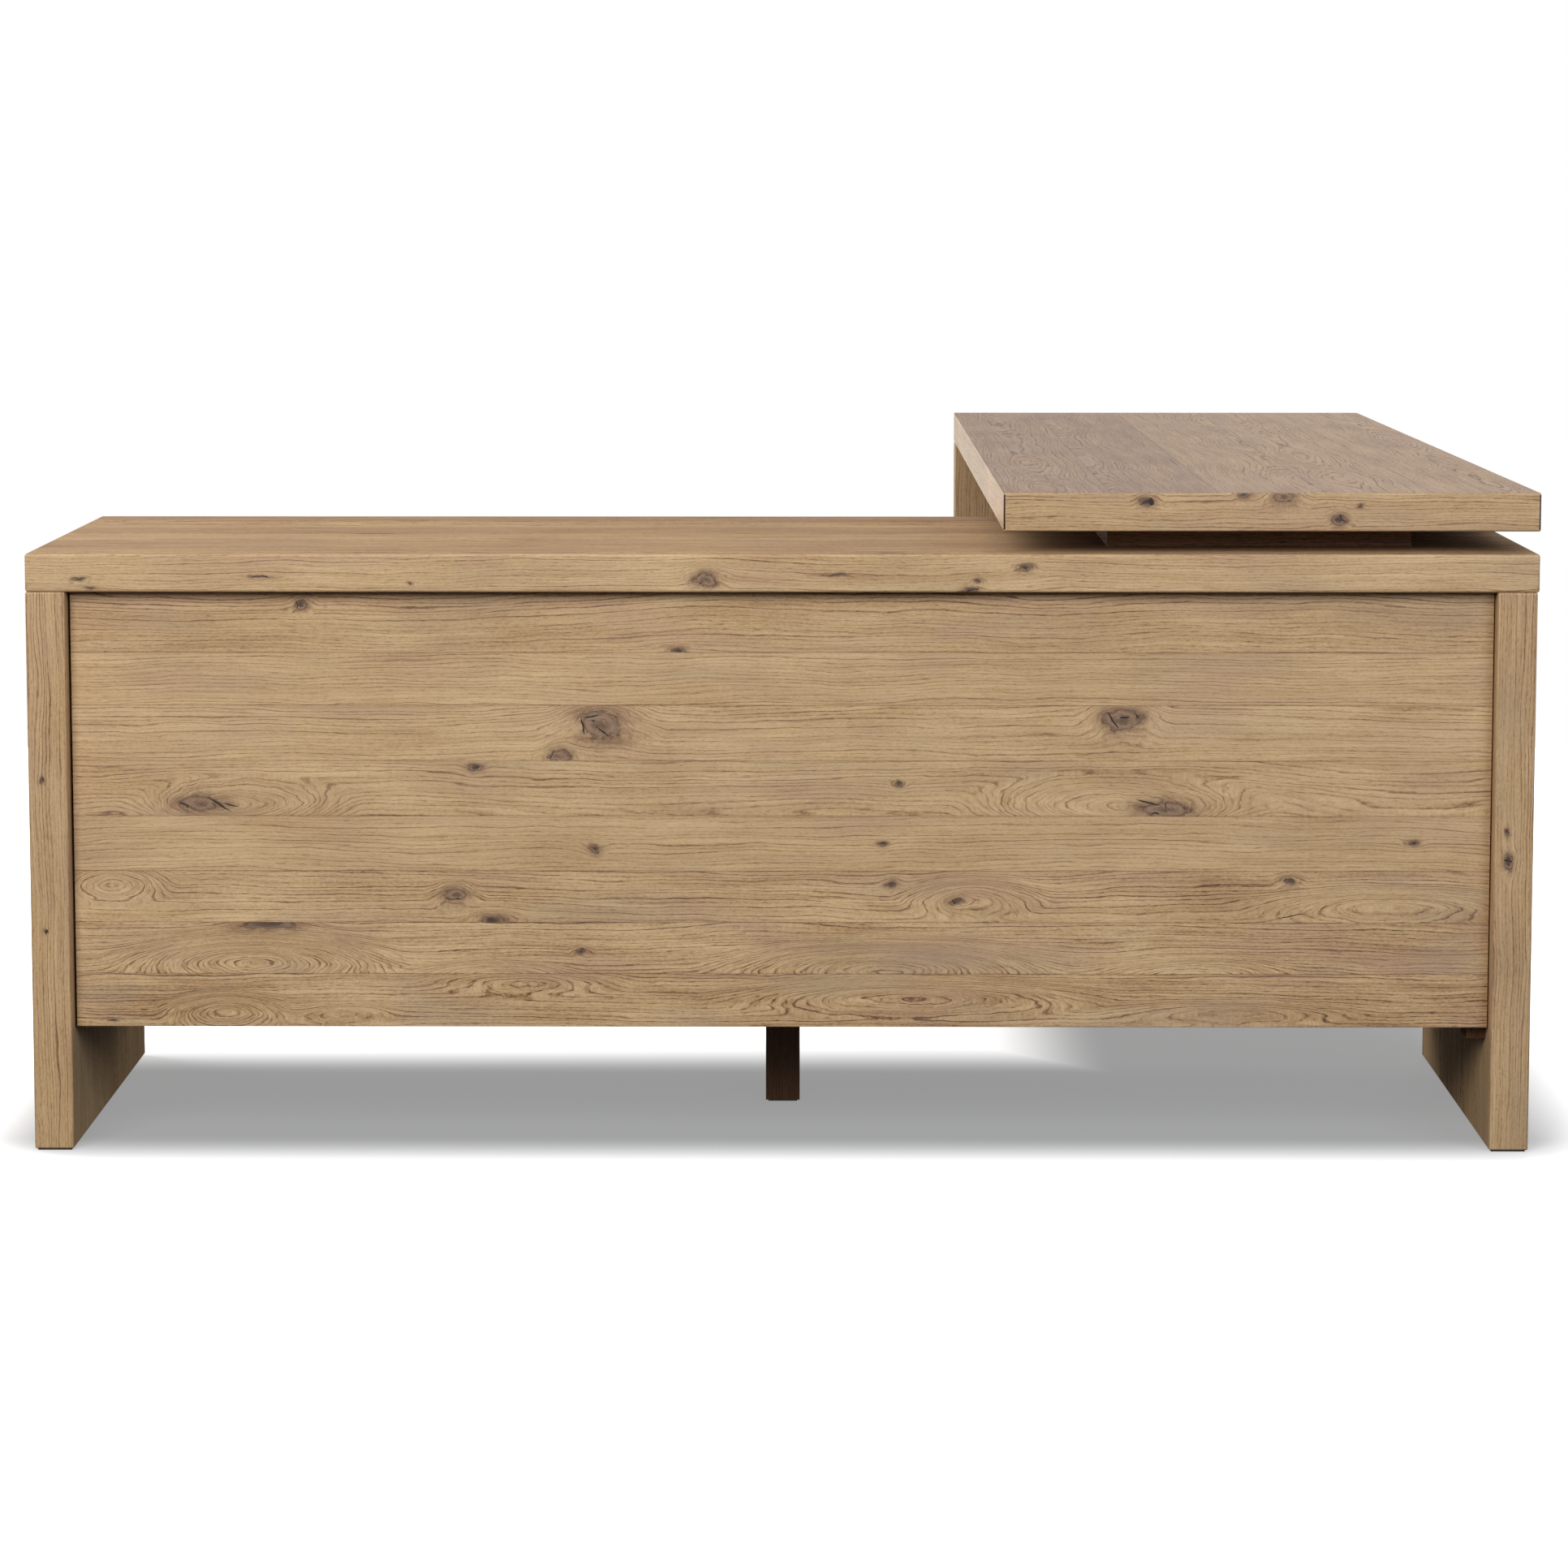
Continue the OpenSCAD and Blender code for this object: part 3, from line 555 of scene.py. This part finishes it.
def metal(name, dark, bright, patch, rough_low, rough_high, grain=None, scratch=0.02):
    """A metal whose tone drifts over patches of the given size, with a fine unevenness in its
    gloss that runs along the grain axis. patch and scratch are in millimetres."""
    material, tree = new_material(name)
    place = add(tree, "TexCoord").outputs["Object"]
    scale = [1 / (patch * MM)] * 3
    cloud = add(tree, "Mapping", {"Vector": place, "Scale": scale})
    cloud = add(tree, "TexNoise", {"Vector": cloud, "Scale": 1.0, "Detail": 4.0,
                                   "Roughness": 0.6})
    cloud = add(tree, "MapRange", [cloud, 0.3, 0.7, 0.0, 1.0])
    scale = [1 / (POLISH * MM)] * 3
    if grain is not None:
        scale[grain] = 1 / (DRAWN_LINE * MM)
    brush = add(tree, "Mapping", {"Vector": place, "Scale": scale})
    brush = add(tree, "TexNoise", {"Vector": brush, "Scale": 1.0, "Detail": 2.0})
    colour = add(tree, "Mix", {"Factor": cloud, 6: linear(dark), 7: linear(bright)},
                 data_type="RGBA")
    rough = add(tree, "MapRange", [brush, 0.3, 0.7, rough_low, rough_high])
    bump = add(tree, "Bump", {"Strength": 0.4, "Distance": scratch * MM, "Height": brush})
    surface = add(tree, "BsdfPrincipled", {"Base Color": colour.outputs[2], "Metallic": 1.0,
                                           "Roughness": rough, "Normal": bump})
    add(tree, "OutputMaterial", {"Surface": surface})
    return material


def turned_knob(name, node, body):
    """The node's knob as a smooth turning. Its axis runs along Y and its foot is at low Y."""
    low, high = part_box(node)
    radius, length = (high.x - low.x) / 2, high.y - low.y
    middle_x, middle_z = low.x + radius, low.z + radius
    turns = [2 * math.pi * k / KNOB_SIDES for k in range(KNOB_SIDES)]
    shape = bmesh.new()
    rings = []
    for share, along in KNOB_OUTLINE:
        y = low.y + length * along
        if share:
            rings.append([shape.verts.new((middle_x + radius * share * math.cos(a), y,
                                           middle_z + radius * share * math.sin(a)))
                          for a in turns])
        else:
            rings.append([shape.verts.new((middle_x, y, middle_z))])
    for inner, outer in zip(rings, rings[1:]):
        for k in range(KNOB_SIDES):
            j = (k + 1) % KNOB_SIDES
            corners = [inner[k % len(inner)], outer[k % len(outer)], outer[j % len(outer)],
                       inner[j % len(inner)]]
            shape.faces.new(list(dict.fromkeys(corners)))
    bmesh.ops.recalc_face_normals(shape, faces=shape.faces)
    for face in shape.faces:
        face.smooth = True
    stand_in(shown(name, shape, [bronze]), node, body)


bronze = metal("bronzed_brass", BRONZE_DARK, BRONZE_WARM, 9, 0.3, 0.42)
for drawer in DRAWERS:
    turned_knob(f"{drawer}_turned_knob", f"{drawer}_knob", drawer)
turned_knob("door_turned_knob", "door_knob", "door")
finish_nodes(["door_hinge_leaves", "frame_hinge_leaves"], bronze)

# ---- Steel fittings ----------------------------------------------------------------------------
# Pressed and turned steel, bright zinc plated: runners, slides, bolts, inserts, brackets, screws,
# shelf pins, hinge pins and the door's strike plate. It gives the eye a cool grey satin metal,
# with faint drawn lines along the runners.

ZINC_DARK, ZINC_BRIGHT = "#9da1a3", "#cfd1d0"
zinc = metal("zinc_plated_steel", ZINC_DARK, ZINC_BRIGHT, 14, 0.26, 0.42)
drawn_zinc = metal("drawn_zinc_plated_steel", ZINC_DARK, ZINC_BRIGHT, 24, 0.24, 0.4, Y, 0.03)
finish_nodes(["shelf_pins", "desk_bolts", "threaded_inserts", "leg_brackets", "bracket_screws",
              "hinge_pins", "door_strike_plate"], zinc)
finish_nodes([f"{drawer}_{part}" for drawer in DRAWERS for part in ("slides", "runners")],
             drawn_zinc)

# ---- Glides and magnetic catch ---------------------------------------------------------------
# Moulded plastic: warm grey nylon glides nailed under the side panels and the slab leg, and the
# catch's brown ABS case, screwed inside the cabinet. A low sheen over a fine, even texture.

# grit of the moulding tool in millimetres, coarser than the real one so that it shows
TOOL_GRIT = 0.9


def moulded(name, colour, shadow, rough):
    """A moulded plastic with the fine spark-eroded texture of its tool."""
    material, tree = new_material(name)
    place = add(tree, "TexCoord").outputs["Object"]
    grit = add(tree, "Mapping", {"Vector": place, "Scale": [1 / (TOOL_GRIT * MM)] * 3})
    grit = add(tree, "TexNoise", {"Vector": grit, "Scale": 1.0, "Detail": 3.0})
    tint = add(tree, "Mix", {"Factor": grit, 6: linear(colour), 7: linear(shadow)},
               data_type="RGBA")
    bump = add(tree, "Bump", {"Strength": 0.3, "Distance": 0.05 * MM, "Height": grit})
    surface = add(tree, "BsdfPrincipled", {"Base Color": tint.outputs[2], "Roughness": rough,
                                           "IOR": 1.53, "Normal": bump})
    add(tree, "OutputMaterial", {"Surface": surface})
    return material


finish_nodes(["floor_glides"], moulded("grey_nylon", "#5c544e", "#4d4641", 0.48))
finish_nodes(["magnetic_catch"], moulded("brown_abs", "#645a54", "#544b46", 0.4))

# ---- Floor, light and camera -----------------------------------------------------------------
# A white studio floor that melts into a white backdrop, with one even patch of painted grey
# shadow under the unit and the desk top. It throws back little light, so undersides stay dark.
# Four big soft lights: two from the front, one from the side and one from behind.

FLOOR_REACH, FLOOR_BACK = 40, 2.5
# the floor glows where it is seen, and less in its painted shadow, which is also painted a darker
# tone
PAINTED_SHADOW_GLOW, PAINTED_SHADOW_TONE = 0.305, 0.12
# how much light the floor throws back onto the desk
FLOOR_BOUNCE = 0.03
# middles and half sizes, in metres, of the patches of painted shadow on the floor under the
# unit and the desk top
PAINTED_SHADOW_PATCHES = [((0, -0.5275), (0.82, 0.1625)), ((0.62, 0.1), (0.2, 0.62))]
PAINTED_SHADOW_FADE = 0.22
# how much of the white backdrop's light reaches matt surfaces
SKY_SHARE = 0.15
# each light's place, aim, size in metres and watts
LIGHTS = {"key_light": ((-2.0, -4.6, 3.0), (-0.2, -0.4, 0.4), 2.4, 167),
          "fill_light": ((3.0, -4.5, 2.6), (0.2, 0, 0.4), 2.4, 103),
          "side_light": ((-3.6, 1.2, 2.4), (0.2, 0.3, 0.5), 2.0, 88),
          "back_light": ((1.8, 4.6, 2.0), (0.1, -0.2, 0.4), 2.4, 84)}
FILL_COLOUR = "#e6f0ff"
CAMERA_PLACE = (0.0257, -5.301, 1.1244)
CAMERA_DIP, CAMERA_TURN = 5.641, 0.29
SENSOR_WIDTH, FOCAL_LENGTH, SHIFT_Y = 36, 92.10, -0.1377

floor_mesh = bpy.data.meshes.new("floor")
floor_mesh.from_pydata([(-FLOOR_REACH, -FLOOR_REACH, 0), (FLOOR_REACH, -FLOOR_REACH, 0),
                        (FLOOR_REACH, FLOOR_BACK, 0), (-FLOOR_REACH, FLOOR_BACK, 0)],
                       [], [(0, 1, 2, 3)])
floor = bpy.data.objects.new("floor", floor_mesh)
bpy.context.scene.collection.objects.link(floor)
paint, tree = new_material("white_floor")
seen = add(tree, "LightPath").outputs["Is Camera Ray"]
dim = add(tree, "BsdfDiffuse", {"Color": (FLOOR_BOUNCE, FLOOR_BOUNCE, FLOOR_BOUNCE, 1)})
at = add(tree, "TexCoord").outputs["Object"]
# painted shadow: in these patches the floor that the camera sees is painted a darker tone and glows
# less, and the painted shadow fades out around them
painted_shadow_distance = None
for (x, y), (half_x, half_y) in PAINTED_SHADOW_PATCHES:
    apart = add(tree, "VectorMath", [at, (-x, -y, 0)], operation="ADD")
    apart = add(tree, "VectorMath", [apart], operation="ABSOLUTE")
    apart = add(tree, "VectorMath", [apart, (-half_x, -half_y, 0)], operation="ADD")
    apart = add(tree, "VectorMath", [apart, (0, 0, 0)], operation="MAXIMUM")
    apart = add(tree, "VectorMath", [apart], operation="LENGTH").outputs["Value"]
    painted_shadow_distance = apart if painted_shadow_distance is None else \
        add(tree, "Math", [painted_shadow_distance, apart], operation="MINIMUM")
out_of_painted_shadow = add(tree, "MapRange", [painted_shadow_distance, 0.0, PAINTED_SHADOW_FADE, 0.0, 1.0],
          interpolation_type="SMOOTHSTEP")
tone = add(tree, "MapRange", [out_of_painted_shadow, 0.0, 1.0, PAINTED_SHADOW_TONE, 1.0])
white = add(tree, "BsdfDiffuse", {"Color": tone})
glow = add(tree, "MapRange", [out_of_painted_shadow, 0.0, 1.0, PAINTED_SHADOW_GLOW, 1.0])
glow = add(tree, "Emission", {"Color": linear("#ffffff"), "Strength": glow})
lit = add(tree, "AddShader", [white, glow])
surface = add(tree, "MixShader", [seen, dim, lit])
add(tree, "OutputMaterial", {"Surface": surface})
floor_mesh.materials.append(paint)

world = bpy.data.worlds.new("studio")
bpy.context.scene.world = world
world.use_nodes = True
tree = world.node_tree
scattered = add(tree, "LightPath").outputs["Is Diffuse Ray"]
strength = add(tree, "MapRange", [scattered, 0.0, 1.0, 1.0, SKY_SHARE])
tree.links.new(strength.outputs[0], tree.nodes["Background"].inputs["Strength"])
tree.nodes["Background"].inputs["Color"].default_value = (1, 1, 1, 1)
bpy.context.scene.view_settings.view_transform = "Standard"

for name, (place, aim, size, watts) in LIGHTS.items():
    lamp = bpy.data.lights.new(name, "AREA")
    lamp.shape, lamp.size, lamp.size_y, lamp.energy = "RECTANGLE", size, size, watts
    light = bpy.data.objects.new(name, lamp)
    bpy.context.scene.collection.objects.link(light)
    light.location = place
    light.rotation_euler = (Vector(aim) - Vector(place)).to_track_quat("-Z", "Y").to_euler()
    light.visible_camera = False
bpy.data.lights["fill_light"].color = linear(FILL_COLOUR)[:3]
bpy.data.objects["back_light"].visible_glossy = False

camera_data = bpy.data.cameras.new("camera")
camera_data.sensor_width = SENSOR_WIDTH
camera_data.lens = FOCAL_LENGTH
camera_data.shift_y = SHIFT_Y
camera = bpy.data.objects.new("camera", camera_data)
bpy.context.scene.collection.objects.link(camera)
camera.location = CAMERA_PLACE
camera.rotation_euler = (math.radians(90 - CAMERA_DIP), 0, math.radians(CAMERA_TURN))
bpy.context.scene.camera = camera
